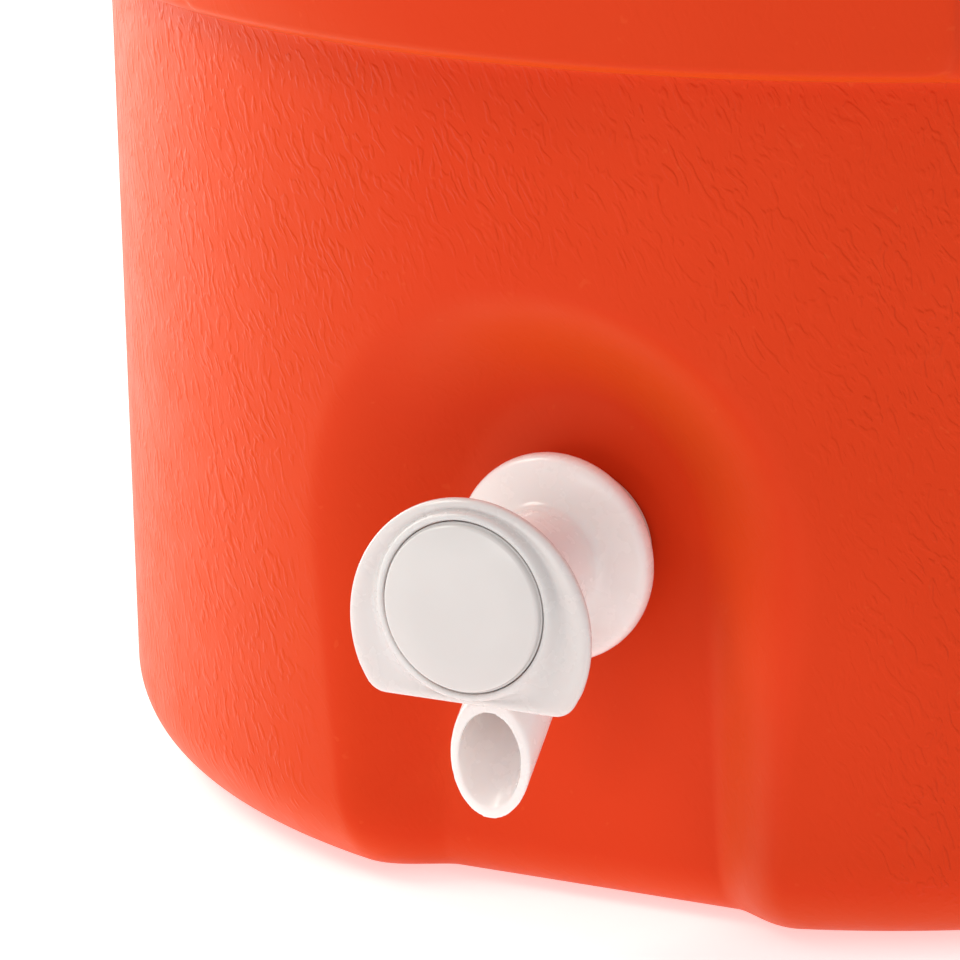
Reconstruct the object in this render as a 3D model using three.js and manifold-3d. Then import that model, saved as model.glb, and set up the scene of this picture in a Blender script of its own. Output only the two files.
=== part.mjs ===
// Insulated water jug with a push-button spigot, swing-up handles and a lift-off lid.
// Millimetres, +Z up, the spigot points along -Y, the origin is the centre of the base.
import * as THREE from "three";
import { mergeVertices } from "three/addons/utils/BufferGeometryUtils.js";
import Module from "manifold-3d";

const wasm = await Module();
wasm.setup();

// ---- body ----
const BASE_R = 156; // radius of the tapered wall, carried down to the floor
const TAPER = 0.0209; // growth of that radius per mm of height
const FOOT_ROUND = 23;
const WALL = 3.5;
const RIM_Z = 404;
const BELT = { z0: 173.7, z1: 372, r: 168.5, corner: 3 };
const PANEL = { half: THREE.MathUtils.degToRad(29), z1: 342, raise: 1.4 };
const RECESS = { r0: 42, r1: 114, deep: 3, slope: 3 };
const PLUG = { y: 74, r: 8 };

// ---- spigot niche: an arch with a flat back wall ----
const SPIGOT_Z = 74;
const NICHE = { d: 138, round: 12.7, flat: 30, flatFoot: 35, rim: 55, rimFoot: 50 };

// ---- liner and lid ----
const LINER = { floor: 33, wall: 3, r0: 124, r1: 133, round: 4, flangeZ: 404.3, flange: 3, lip: 164 };
const LID = { r: 168.4, skirt: 396, top: 437, wall: 3, inner: 165.3, edge: 9 };
const BOWL = { floor: 414, r0: 44, r1: 58 };
const LID_BAR = { wide: 28, thick: 7.5, z0: 429.5, reach: 66, seat: 3, wall: 3 };
const LID_PLUG = { r: 128.4, wall: 2.6, z0: 387, flangeZ: 407.7, flangeR: 163, flange: 2 };

// ---- swing handles ----
const PIVOT = { x: 185, z: 332, pin: 3.5 };
const BAIL = { arm: 50, drop: 104, rod: 5, corner: 16, eyeR: 9, eyeHalf: 5.5 };
const GRIP = { r: 9, half: 33 };
const EAR = { y0: 56.5, y1: 68, padY1: 91, r: 10.5, padZ: 22, lugX: 171, pad: 5 };
const SCREW = { turn: THREE.MathUtils.degToRad(26.5), z: 11, head: 4.4, headH: 2.4, shank: 2 };

// ---- spigot, distances d measured outwards from the jug's axis ----
const TAIL = { d0: 106, r: 9.5, root: 8.8, bore: 7, pitch: 5.4 };
const FLANGE = { d0: 139.8, collar: 14.5, back: 146.8, d1: 151, r: 20.6, crown: 152.6 };
const BARREL = { r: 11, bore: 8.6, d1: 174 };
const SEAT = { d0: 146, d1: 148.4, bore: 4.6 };
const GUARD = { d: 186.4, thick: 2.6, r: 25.3, drop: 4.8, flat: 19.6, corner: 4.5, pocket: 17, cup: 18.9 };
const BUTTON = { r: 16.3, d: 188.4, crown: 190, skirt: 183 };
const STEM = { r: 2.4, foot: 4.4, d0: 138.6 };
const SPOUT = { lean: THREE.MathUtils.degToRad(45), r: 8.45, bore: 6.6, cut: 177, z: 41.7 };

const GAP = 0.3;
const coneR = (z) => BASE_R + TAPER * z;
const beltR = (z) => BELT.r + TAPER * (z - BELT.z0);

// ---- geometry helpers ----
function toSolid(geometry) {
  const g = geometry.index ? geometry.toNonIndexed() : geometry.clone();
  g.deleteAttribute("normal");
  g.deleteAttribute("uv");
  const merged = mergeVertices(g, 1e-4);
  return new wasm.Manifold(
    new wasm.Mesh({
      numProp: 3,
      vertProperties: merged.attributes.position.array,
      triVerts: new Uint32Array(merged.index.array),
    }),
  );
}

function toGeometry(solid) {
  const m = solid.getMesh();
  const g = new THREE.BufferGeometry();
  g.setAttribute("position", new THREE.BufferAttribute(new Float32Array(m.vertProperties), 3));
  g.setIndex(new THREE.BufferAttribute(new Uint32Array(m.triVerts), 1));
  g.computeVertexNormals();
  return g;
}

const cut = (a, ...tools) => toGeometry(tools.reduce((s, t) => s.subtract(toSolid(t)), toSolid(a)));
const join = (a, ...more) => toGeometry(more.reduce((s, t) => s.add(toSolid(t)), toSolid(a)));

// Revolves [r, h] points, listed counter-clockwise, about +Z with h as the height.
function turned(points, segments, close = false) {
  const p = points.map(([r, h]) => new THREE.Vector2(r, h));
  if (close) p.push(p[0].clone());
  return new THREE.LatheGeometry(p, segments).rotateX(Math.PI / 2);
}

// The same about the spigot's axis, with h as the distance d outwards.
function turnedOut(points, segments, close = false, z = SPIGOT_Z) {
  return turned(points, segments, close).rotateX(Math.PI / 2).translate(0, 0, z);
}

// The same about an axis along Y, with h as the y coordinate.
function turnedY(points, segments, x, z) {
  return turned(points, segments).rotateX(-Math.PI / 2).translate(x, 0, z);
}

const rod = (r, h0, h1) => [[0, h0], [r, h0], [r, h1], [0, h1]];

// Points of a fillet about (cr, ch), from angle a0 to a1 in degrees.
function arc(cr, ch, r, a0, a1, n) {
  return Array.from({ length: n + 1 }, (_, i) => {
    const a = THREE.MathUtils.degToRad(a0 + ((a1 - a0) * i) / n);
    return [cr + r * Math.cos(a), ch + r * Math.sin(a)];
  });
}

// Extrudes a shape drawn in X-Z along Y from y0 to y1.
function prism(shape, y0, y1) {
  const g = new THREE.ExtrudeGeometry(shape, { depth: y1 - y0, bevelEnabled: false, curveSegments: 10 });
  return g.rotateX(Math.PI / 2).translate(0, y1, 0);
}

function box(x0, x1, y0, y1, z0, z1) {
  const g = new THREE.BoxGeometry(x1 - x0, y1 - y0, z1 - z0);
  return g.translate((x0 + x1) / 2, (y0 + y1) / 2, (z0 + z1) / 2);
}

// ---- the niche as a displacement of the turned body ----
const smooth = (t) => {
  const s = Math.min(1, Math.max(0, t));
  return s * s * (3 - 2 * s);
};

function nicheMask(x, z) {
  const below = Math.max(0, SPIGOT_Z - z) / SPIGOT_Z;
  const off = z > SPIGOT_Z ? Math.hypot(x, z - SPIGOT_Z) : Math.abs(x);
  const inner = NICHE.flat + (NICHE.flatFoot - NICHE.flat) * below;
  const outer = NICHE.rim + (NICHE.rimFoot - NICHE.rim) * below;
  return smooth((outer - off) / (outer - inner));
}

// Distance of the niche's back wall from the jug's axis, set in by a wall thickness.
function nicheDepth(z, inset) {
  if (z >= NICHE.round) return NICHE.d - inset;
  const r = NICHE.round - inset;
  return NICHE.d - NICHE.round + Math.sqrt(Math.max(0, r * r - (NICHE.round - z) ** 2));
}

// Crowds the lathe's columns towards the spigot, then sinks the niche and lifts the label panel.
function shapeBody(geometry, insetAt) {
  const p = geometry.attributes.position;
  for (let i = 0; i < p.count; i++) {
    const [x, y, z] = [p.getX(i), p.getY(i), p.getZ(i)];
    let r = Math.hypot(x, y);
    if (r < 1e-6) continue;
    const turn = Math.atan2(x, -y);
    const a = turn - 0.6 * Math.sin(turn);
    const inset = insetAt(r, z);
    const wall = nicheDepth(z, inset) / Math.cos(a);
    if (Math.abs(a) < 0.5 && r > 118) r -= nicheMask(r * Math.sin(a), z) * Math.max(0, r - wall);
    if (inset === 0 && Math.abs(a) < PANEL.half && z > BELT.z0 - 0.1 && z < PANEL.z1 && r > BELT.r - 2)
      r += PANEL.raise;
    p.setXYZ(i, r * Math.sin(a), -r * Math.cos(a), z);
  }
  geometry.computeVertexNormals();
  return geometry;
}

// Square radial holes for the four ear screws.
function screwHoles(half) {
  return [0, Math.PI].flatMap((side) =>
    [1, -1].map((end) =>
      box(140, 190, -half, half, -half, half).translate(0, 0, PIVOT.z - SCREW.z)
        .rotateZ(side + end * SCREW.turn),
    ),
  );
}

function outerShell() {
  const foot = BASE_R - FOOT_ROUND;
  const inR = FOOT_ROUND - WALL;
  const outside = [
    [0, 0],
    [RECESS.r0 - RECESS.slope, 0],
    [RECESS.r0, RECESS.deep],
    [RECESS.r1, RECESS.deep],
    [RECESS.r1 + RECESS.slope, 0],
    ...arc(foot, FOOT_ROUND, FOOT_ROUND, -90, -4, 4),
    ...[40, 58, 76, 90, 104, 118, 132].map((z) => [coneR(z), z]),
    [coneR(BELT.z0), BELT.z0],
    [BELT.r - BELT.corner, BELT.z0],
    [BELT.r, BELT.z0 + BELT.corner],
    [beltR(PANEL.z1 - 2), PANEL.z1 - 2],
    [beltR(PANEL.z1), PANEL.z1],
    [beltR(BELT.z1 - 4), BELT.z1 - 4],
    [beltR(BELT.z1) - 3, BELT.z1],
    [coneR(BELT.z1 + 3), BELT.z1 + 3],
    [coneR(RIM_Z), RIM_Z],
  ];
  const inside = [
    [coneR(RIM_Z) - WALL, RIM_Z],
    [coneR(BELT.z1) - WALL, BELT.z1 - 2],
    [beltR(BELT.z1) - WALL - 1, BELT.z1 - 6],
    [beltR(BELT.z0 + 6) - WALL, BELT.z0 + 6],
    [coneR(BELT.z0) - WALL, BELT.z0 + 3.5],
    ...[132, 114, 96, 78, 44].map((z) => [coneR(z) - WALL, z]),
    ...arc(foot, FOOT_ROUND, inR, -4, -90, 3),
    [RECESS.r1 + RECESS.slope + 1, WALL],
    [RECESS.r1, WALL + RECESS.deep],
    [0, WALL + RECESS.deep],
  ];
  const isInside = (r, z) => {
    if (z < FOOT_ROUND) return Math.hypot(Math.max(0, r - foot), z - FOOT_ROUND) < inR + 0.5 ? WALL : 0;
    return r < (z > BELT.z0 + 2 && z < BELT.z1 ? beltR(z) - 4 : coneR(z) - 1) ? WALL : 0;
  };
  const body = shapeBody(turned([...outside, ...inside], 52), isInside);
  const spigotHole = turnedOut(rod(10.4, 125, 145), 16);
  const plugHole = turned(rod(PLUG.r + GAP, 1, 9), 12).translate(0, PLUG.y, 0);
  return cut(body, spigotHole, plugHole, ...screwHoles(2.4));
}

// Cast foam between the shell and the liner, cut back behind the niche.
function foamFill() {
  const r = (z) => coneR(z) - WALL - 1.4;
  const linerR = (z) => linerInner(z) + LINER.wall + 1.3;
  const ring = turned(
    [
      [0, WALL + RECESS.deep + 0.5],
      [RECESS.r1 - 6, WALL + RECESS.deep + 0.5],
      [RECESS.r1 + 14, WALL + 5.5],
      [r(24) - 4, 24],
      [r(44), 44],
      [r(BELT.z0), BELT.z0 + 4],
      [beltR(BELT.z0) - WALL - 2, BELT.z0 + 12],
      [beltR(BELT.z1) - WALL - 3, BELT.z1 - 10],
      [r(BELT.z1), BELT.z1 - 3],
      [r(RIM_Z), RIM_Z - 0.4],
      [linerR(RIM_Z), RIM_Z - 0.4],
      ...arc(LINER.r0 + LINER.wall - LINER.round, LINER.floor - LINER.wall + LINER.round, LINER.round + 1.3, 0, -90, 3),
      [0, LINER.floor - LINER.wall - 1.3],
    ],
    28,
  );
  const half = NICHE.rim + 4;
  const arch = new THREE.Shape();
  arch.moveTo(-half, -SPIGOT_Z).lineTo(half, -SPIGOT_Z).lineTo(half, 0);
  arch.absarc(0, 0, half, 0, Math.PI, false);
  arch.lineTo(-half, -SPIGOT_Z);
  const niche = prism(arch, -180, -(NICHE.d - WALL - 1)).translate(0, 0, SPIGOT_Z);
  const toe = box(-half, half, -160, -(NICHE.d - NICHE.round - 7), -1, 18);
  const hole = turnedOut(rod(10.8, 115, 145), 12);
  return cut(ring, niche, toe, hole, ...screwHoles(3.2));
}

const linerInner = (z) =>
  LINER.r0 + ((LINER.r1 - LINER.r0) * (z - LINER.floor)) / (LINER.flangeZ - LINER.floor);

function innerLiner() {
  const { floor, wall, round, flangeZ, flange, lip, r0 } = LINER;
  const body = turned(
    [
      [0, floor - wall],
      ...arc(r0 + wall - round, floor - wall + round, round, -90, 0, 3),
      [linerInner(flangeZ) + wall, flangeZ],
      [lip, flangeZ],
      [lip, flangeZ + flange],
      [linerInner(flangeZ) + 1, flangeZ + flange],
      [linerInner(flangeZ), flangeZ + flange - 1.2],
      ...arc(r0 - round + wall, floor + round - wall, round - wall, 0, -90, 3),
      [0, floor],
    ],
    36,
  );
  return cut(body, turnedOut(rod(10.4, 112, 132), 16));
}

// ---- lid ----
function lidCover() {
  const { r, skirt, top, wall, inner, edge } = LID;
  const body = turned(
    [
      [0, BOWL.floor - wall],
      [BOWL.r0 + 1, BOWL.floor - wall],
      [BOWL.r1 + 3, top - wall - 1],
      [inner - 8, top - wall - 3],
      [inner - 1, top - wall - 9],
      [inner, skirt + 4],
      [inner + 0.8, skirt],
      [r, skirt],
      [r, top - edge - 3],
      ...arc(r - edge, top - edge - 3, edge, 22, 90, 3),
      [BOWL.r1 + 8, top],
      [BOWL.r1 + 1, top - 2],
      [BOWL.r0 + 4, BOWL.floor + 4],
      [BOWL.r0 - 2, BOWL.floor],
      [0, BOWL.floor],
    ],
    40,
  );
  const { wide, thick, z0, reach, seat } = LID_BAR;
  const half = wide / 2 + GAP;
  const ends = [1, -1].map((side) => ({
    boss: box(BOWL.r1 - 5, reach + GAP + LID_BAR.wall, -half - LID_BAR.wall, half + LID_BAR.wall,
      z0 - seat - GAP, top - 0.6).rotateZ(side > 0 ? 0 : Math.PI),
    pocket: box(BOWL.r1 - 30, reach + GAP, -half, half, z0 - GAP, z0 + thick + 1)
      .rotateZ(side > 0 ? 0 : Math.PI),
  }));
  return cut(join(body, ...ends.map((e) => e.boss)), ...ends.map((e) => e.pocket));
}

// The bar's ends rest in the two pockets of the cover.
function lidGripBar() {
  const { wide, thick, z0, reach } = LID_BAR;
  const w = wide / 2;
  const bar = new THREE.Shape();
  bar.moveTo(-w + 3, 0).lineTo(w - 3, 0).lineTo(w, 3).lineTo(w, thick - 2);
  bar.lineTo(w - 2, thick).lineTo(-w + 2, thick).lineTo(-w, thick - 2).lineTo(-w, 3);
  bar.closePath();
  return prism(bar, -reach, reach).translate(0, 0, z0).rotateZ(Math.PI / 2);
}

function lidFoam() {
  const { r, wall, z0, flangeZ, flange, flangeR } = LID_PLUG;
  const body = turned(
    [
      [0, z0 + wall + 0.4],
      [r - wall - 0.6, z0 + wall + 0.4],
      [r - wall - 0.6, flangeZ + flange + 0.5],
      [flangeR - 4, flangeZ + flange + 0.5],
      [flangeR - 4, LID.top - LID.wall - 12],
      [flangeR - 12, LID.top - LID.wall - 5],
      [BOWL.r1 + 10, LID.top - LID.wall - 3.4],
      [BOWL.r0 + 8, BOWL.floor - LID.wall - 0.6],
      [0, BOWL.floor - LID.wall - 0.6],
    ],
    24,
  );
  const half = LID_BAR.wide / 2 + LID_BAR.wall + 1;
  const boss = box(-LID_BAR.reach - LID_BAR.wall - 1, LID_BAR.reach + LID_BAR.wall + 1, -half, half,
    LID_BAR.z0 - LID_BAR.seat - 1, LID.top);
  return cut(body, boss);
}

function lidLiner() {
  const { r, wall, z0, flangeZ, flange, flangeR } = LID_PLUG;
  return turned(
    [
      [0, z0],
      [r - 4, z0],
      [r, z0 + 4],
      [r, z0 + 6],
      [r - 1, z0 + 6.6],
      [r - 1, z0 + 12.4],
      [r, z0 + 13],
      [r, flangeZ],
      [flangeR, flangeZ],
      [flangeR, flangeZ + flange],
      [r - wall, flangeZ + flange],
      [r - wall, z0 + wall],
      [0, z0 + wall],
    ],
    36,
  );
}

function lidGasket() {
  const { r, z0 } = LID_PLUG;
  const out = linerInner(z0 + 6) - 0.5;
  return turned(
    [
      [r - 0.6, z0 + 7],
      [r + 0.6, z0 + 7],
      [out, z0 + 8.6],
      [out, z0 + 9.6],
      [r + 1.2, z0 + 9.8],
      [r + 0.6, z0 + 12],
      [r - 0.6, z0 + 12],
    ],
    36,
    true,
  );
}

// ---- handles, drawn at +X and turned half a turn for the other side ----
function ear(end) {
  const { r, padZ, lugX, pad, y0, y1, padY1 } = EAR;
  const back = 140;
  const beltFace = beltR(PIVOT.z) + 1.1;
  const lug = new THREE.Shape();
  lug.moveTo(back, -padZ).lineTo(lugX, -padZ).lineTo(PIVOT.x + r * 0.45, -r * 0.9);
  lug.absarc(PIVOT.x, 0, r, -Math.PI * 0.35, Math.PI * 0.35, false);
  lug.lineTo(lugX, padZ - 2).lineTo(back, padZ - 2).closePath();
  const lugSolid = prism(lug, y0, y1).translate(0, 0, PIVOT.z);
  const drum = (radius) => turned(rod(radius, PIVOT.z - 60, PIVOT.z + 60), 96);
  const padBlock = toSolid(box(back, lugX + 10, y1 - 1, padY1, PIVOT.z - padZ, PIVOT.z + 2));
  const plate = toGeometry(padBlock.intersect(toSolid(drum(beltFace + pad))));
  const pinHole = turnedY(rod(PIVOT.pin + GAP, y0 - 5, y1 + 5), 12, PIVOT.x, PIVOT.z);
  const screwHole = turned(rod(SCREW.shank + GAP, 140, 200), 8).rotateY(Math.PI / 2)
    .rotateZ(SCREW.turn).translate(0, 0, PIVOT.z - SCREW.z);
  const g = cut(join(lugSolid, plate), drum(beltFace), pinHole, screwHole);
  return end > 0 ? g : mirrorY(g);
}

function mirrorY(geometry) {
  return toGeometry(toSolid(geometry).mirror([0, 1, 0]));
}

function bail() {
  const z1 = -BAIL.drop;
  const c = BAIL.corner;
  const path = new THREE.CurvePath();
  const at = (y, z) => new THREE.Vector3(0, y, z);
  path.add(new THREE.LineCurve3(at(BAIL.arm, -4), at(BAIL.arm, z1 + c)));
  path.add(new THREE.QuadraticBezierCurve3(at(BAIL.arm, z1 + c), at(BAIL.arm, z1), at(BAIL.arm - c, z1)));
  path.add(new THREE.LineCurve3(at(BAIL.arm - c, z1), at(-BAIL.arm + c, z1)));
  path.add(new THREE.QuadraticBezierCurve3(at(-BAIL.arm + c, z1), at(-BAIL.arm, z1), at(-BAIL.arm, z1 + c)));
  path.add(new THREE.LineCurve3(at(-BAIL.arm, z1 + c), at(-BAIL.arm, -4)));
  const section = new THREE.Shape();
  section.absarc(0, 0, BAIL.rod, 0, Math.PI * 2, false);
  const rodGeometry = new THREE.ExtrudeGeometry(section, {
    steps: 26, curveSegments: 4, extrudePath: path, bevelEnabled: false,
  });
  const eyes = [1, -1].map((s) =>
    turnedY(rod(BAIL.eyeR, s * BAIL.arm - BAIL.eyeHalf, s * BAIL.arm + BAIL.eyeHalf), 14, 0, 0));
  const hole = turnedY(rod(PIVOT.pin + GAP, -80, 80), 12, 0, 0);
  return toGeometry(
    toSolid(rodGeometry).add(toSolid(eyes[0])).add(toSolid(eyes[1])).subtract(toSolid(hole)),
  ).translate(PIVOT.x, 0, PIVOT.z);
}

function grip() {
  const { r, half } = GRIP;
  const inner = BAIL.rod + 0.4;
  const g = turned([[inner, -half], [r - 1.5, -half], [r, -half + 1.5], [r, half - 1.5], [r - 1.5, half],
    [inner, half]], 12, true);
  return g.rotateX(-Math.PI / 2).translate(PIVOT.x, 0, PIVOT.z - BAIL.drop);
}

function pivotPin(end) {
  const a = BAIL.arm - BAIL.eyeHalf;
  const g = turnedY([[0, a - 2.6], [4.6, a - 2.6], [5.4, a - 1.6], [5.4, a - GAP], [PIVOT.pin, a - GAP],
    [PIVOT.pin, EAR.y1 + 1.5], [0, EAR.y1 + 1.5]], 12, PIVOT.x, PIVOT.z);
  return end > 0 ? g : g.rotateZ(Math.PI).rotateY(Math.PI).translate(0, 0, 2 * PIVOT.z);
}

function earScrew(end) {
  const { head, headH, shank, turn, z } = SCREW;
  const r = beltR(PIVOT.z) + 1.1 + EAR.pad + GAP;
  return turned([[0, r - 16], [shank, r - 14], [shank, r], [head, r], [head, r + headH * 0.5],
    [head * 0.7, r + headH], [0, r + headH]], 8)
    .rotateY(Math.PI / 2).rotateZ(end * turn).translate(0, 0, PIVOT.z - z);
}

// ---- spigot ----
function spigotBody() {
  const thread = [];
  for (let d = TAIL.d0 + 1; d + TAIL.pitch < FLANGE.d0 - 6; d += TAIL.pitch)
    thread.push([TAIL.root, d], [TAIL.r, d + 1.6], [TAIL.root, d + 3.2]);
  const body = turnedOut(
    [
      [TAIL.bore, TAIL.d0],
      ...thread,
      [TAIL.r, FLANGE.d0 - 5],
      [TAIL.r, FLANGE.d0],
      [FLANGE.collar, FLANGE.d0],
      [FLANGE.collar, FLANGE.back - 0.8],
      [FLANGE.r - 1.6, FLANGE.back],
      [FLANGE.r, FLANGE.back + 1.4],
      [FLANGE.r, FLANGE.d1 - 1.4],
      [FLANGE.r - 1.6, FLANGE.d1],
      [BARREL.r + 3, FLANGE.crown - 0.4],
      [BARREL.r, FLANGE.crown + 0.6],
      [BARREL.r, BARREL.d1],
      [BARREL.bore, BARREL.d1],
      [BARREL.bore, SEAT.d1],
      [SEAT.bore, SEAT.d1],
      [SEAT.bore, SEAT.d0],
      [TAIL.bore, SEAT.d0],
    ],
    24,
    true,
  );
  const place = (g) => g.rotateX(-SPOUT.lean).translate(0, -SPOUT.cut, SPOUT.z);
  const front = box(-20, 20, -SPOUT.cut - 30, -SPOUT.cut, 10, SPIGOT_Z - 16);
  const tube = cut(place(turned(rod(SPOUT.r, -14, 38), 20)), front);
  const behindSeat = box(-20, 20, -SEAT.d1 - GAP, -100, 10, SPIGOT_Z + 40);
  const aboveAxis = box(-20, 20, -200, -100, SPIGOT_Z, SPIGOT_Z + 60);
  const bore = cut(place(turned(rod(SPOUT.bore, -20, 45), 16)), behindSeat, aboveAxis);
  const chamber = turnedOut(rod(BARREL.bore, SEAT.d1, BARREL.d1 + 1), 24);
  return cut(join(body, tube), bore, chamber);
}

function guardOutline() {
  const { r, drop, flat, corner } = GUARD;
  const c = -drop;
  const half = Math.sqrt(r * r - (flat - drop) ** 2);
  const start = Math.asin((flat - drop - corner) / r);
  const s = new THREE.Shape();
  s.moveTo(half - corner, -flat);
  s.quadraticCurveTo(half + 0.6, -flat, r * Math.cos(start), c - r * Math.sin(start));
  s.absarc(0, c, r, -start, Math.PI + start, false);
  s.quadraticCurveTo(-half - 0.6, -flat, -half + corner, -flat);
  s.closePath();
  return s;
}

function fingerGuard() {
  const plate = new THREE.ExtrudeGeometry(guardOutline(), {
    depth: GUARD.thick - 1.2, bevelEnabled: true, bevelSize: 0.8, bevelThickness: 0.6,
    bevelOffset: -0.8, bevelSegments: 1, curveSegments: 8,
  }).rotateX(Math.PI / 2).translate(0, -(GUARD.d - GUARD.thick + 0.6), SPIGOT_Z);
  const d0 = BARREL.d1 + GAP;
  const cup = turnedOut(
    [
      [STEM.r + 0.5, 167.6],
      [BARREL.bore - 0.4, 167.6],
      [BARREL.bore - 0.4, d0],
      [GUARD.cup - 5, d0],
      [GUARD.cup, d0 + 5],
      [GUARD.cup, GUARD.d + 0.5],
      [GUARD.cup - 0.6, GUARD.d + 0.9],
      [GUARD.pocket, GUARD.d + 0.9],
      [GUARD.pocket, d0 + 2],
      [STEM.r + 0.5, d0 + 2],
    ],
    18,
    true,
  );
  const pocket = turnedOut(rod(GUARD.pocket, d0 + 2, GUARD.d + 5), 18);
  const groove = turnedOut(rod(5.2, 160, 170.2), 12);
  return toGeometry(toSolid(plate).subtract(toSolid(pocket)).add(toSolid(cup)).subtract(toSolid(groove)));
}

function pushButton() {
  const { r, d, crown, skirt } = BUTTON;
  return turnedOut(
    [
      [0, d - 2.4],
      [2.8, d - 2.4],
      [2.8, skirt],
      [5.4, skirt],
      [5.4, d - 2.4],
      [r - 1.8, d - 2.4],
      [r - 1.8, skirt],
      [r, skirt],
      [r, d - 1.4],
      [r - 0.5, d - 0.4],
      [r - 1.6, d],
      [r * 0.6, (d + crown * 2) / 3],
      [0, crown],
    ],
    24,
  );
}

function pushStem() {
  const { r, foot, d0 } = STEM;
  return turnedOut([[0, d0], [foot, d0], [foot, d0 + 1.6], [r, d0 + 1.6], [r, BUTTON.d - 2.7],
    [0, BUTTON.d - 2.7]], 12);
}

function ring(inner, outer, d0, d1, n = 20) {
  return turnedOut([[inner, d0], [outer, d0], [outer, d1], [inner, d1]], n, true);
}

function stemSeal() {
  return turnedOut(arc(3.75, 169, 0.9, 0, 300, 5), 16, true);
}

function returnSpring() {
  const [r, wire, turns] = [9.2, 0.6, 2.6];
  const [d0, d1] = [BARREL.d1 + GAP + 2 + wire + GAP, BUTTON.d - 2.4 - wire - GAP];
  class Helix extends THREE.Curve {
    getPoint(t, out = new THREE.Vector3()) {
      const a = t * turns * 2 * Math.PI;
      return out.set(r * Math.cos(a), -(d0 + (d1 - d0) * t), SPIGOT_Z + r * Math.sin(a));
    }
  }
  const section = new THREE.Shape();
  section.absarc(0, 0, wire, 0, Math.PI * 2, false);
  return new THREE.ExtrudeGeometry(section, {
    steps: 26, curveSegments: 3, extrudePath: new Helix(), bevelEnabled: false,
  });
}

function spigotNut() {
  const hex = new THREE.Shape();
  for (let i = 0; i < 6; i++) {
    const a = (i * Math.PI) / 3;
    hex[i ? "lineTo" : "moveTo"](17 * Math.cos(a), 17 * Math.sin(a));
  }
  hex.closePath();
  const g = prism(hex, -119.4, -111).translate(0, 0, SPIGOT_Z);
  return cut(g, turnedOut(rod(TAIL.r + GAP, 105, 125), 20));
}

// ---- assembly ----
const root = new THREE.Group();
root.name = "water_jug";

function add(name, geometry, color, roughness, metalness = 0) {
  const mesh = new THREE.Mesh(geometry, new THREE.MeshStandardMaterial({ color, roughness, metalness }));
  mesh.name = name;
  root.add(mesh);
  return mesh;
}

const ORANGE = 0xe4411e;
const WHITE = 0xe8e0de;

add("outer_shell", outerShell(), ORANGE, 0.45);
add("foam_insulation", foamFill(), 0xe9dfb0, 0.95);
add("inner_liner", innerLiner(), 0xf0f0ee, 0.4);
add("foam_fill_plug", turned([[0, 0.6], [PLUG.r + 3, 0.6], [PLUG.r + 3, 2.6], [PLUG.r, 2.6], [PLUG.r, 6], [0, 6]], 16)
  .translate(0, PLUG.y, 0), 0xc93a1c, 0.6);

add("lid_cover", lidCover(), ORANGE, 0.45);
add("lid_grip_bar", lidGripBar(), ORANGE, 0.45);
add("lid_foam", lidFoam(), 0xe9dfb0, 0.95);
add("lid_liner", lidLiner(), 0xf0f0ee, 0.4);
add("lid_gasket", lidGasket(), 0xd8d8d4, 0.8);

for (const [side, angle] of [["left", Math.PI], ["right", 0]]) {
  const place = (g) => g.rotateZ(angle);
  add(`handle_${side}_bail`, place(bail()), WHITE, 0.4);
  add(`handle_${side}_grip`, place(grip()), WHITE, 0.55);
  for (const end of [-1, 1]) {
    const tag = `${side}_${end * (angle ? -1 : 1) > 0 ? "back" : "front"}`;
    add(`ear_${tag}`, place(ear(end)), ORANGE, 0.45);
    add(`pivot_pin_${tag}`, place(pivotPin(end)), WHITE, 0.35);
    add(`ear_screw_${tag}`, place(earScrew(end)), 0xb8babd, 0.3, 0.9);
  }
}

add("spigot_body", spigotBody(), WHITE, 0.25);
add("spigot_guard", fingerGuard(), WHITE, 0.25);
add("spigot_button", pushButton(), 0xe6e0dd, 0.2);
add("spigot_stem", pushStem(), WHITE, 0.3);
add("plunger_seal", turnedOut([[STEM.r + GAP, 140.6], [6.2, 140.6], [6.4, 145.6], [5.4, 145.6], [STEM.r + GAP, 144.4]],
  18, true), 0xbfc2c4, 0.8);
add("stem_seal", stemSeal(), 0x2a2a2c, 0.8);
add("return_spring", returnSpring(), 0xb8babd, 0.3, 0.9);
add("outer_gasket", ring(TAIL.r + GAP, 16, NICHE.d + 0.3, FLANGE.d0 - 0.3), 0xd8d8d4, 0.8);
add("inner_gasket", ring(TAIL.r + GAP, 16, 119.8, 122.8), 0xd8d8d4, 0.8);
add("spigot_nut", spigotNut(), WHITE, 0.4);

export default root;
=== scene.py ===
"""Looks for the insulated water jug: moulded orange body with a spigot niche, white push-button tap,
white swing handles and a loose lid. Lengths are in millimetres until a mesh is made, then metres."""

import math

import bmesh
import bpy
import numpy as np
from mathutils import Matrix, Vector


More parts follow.
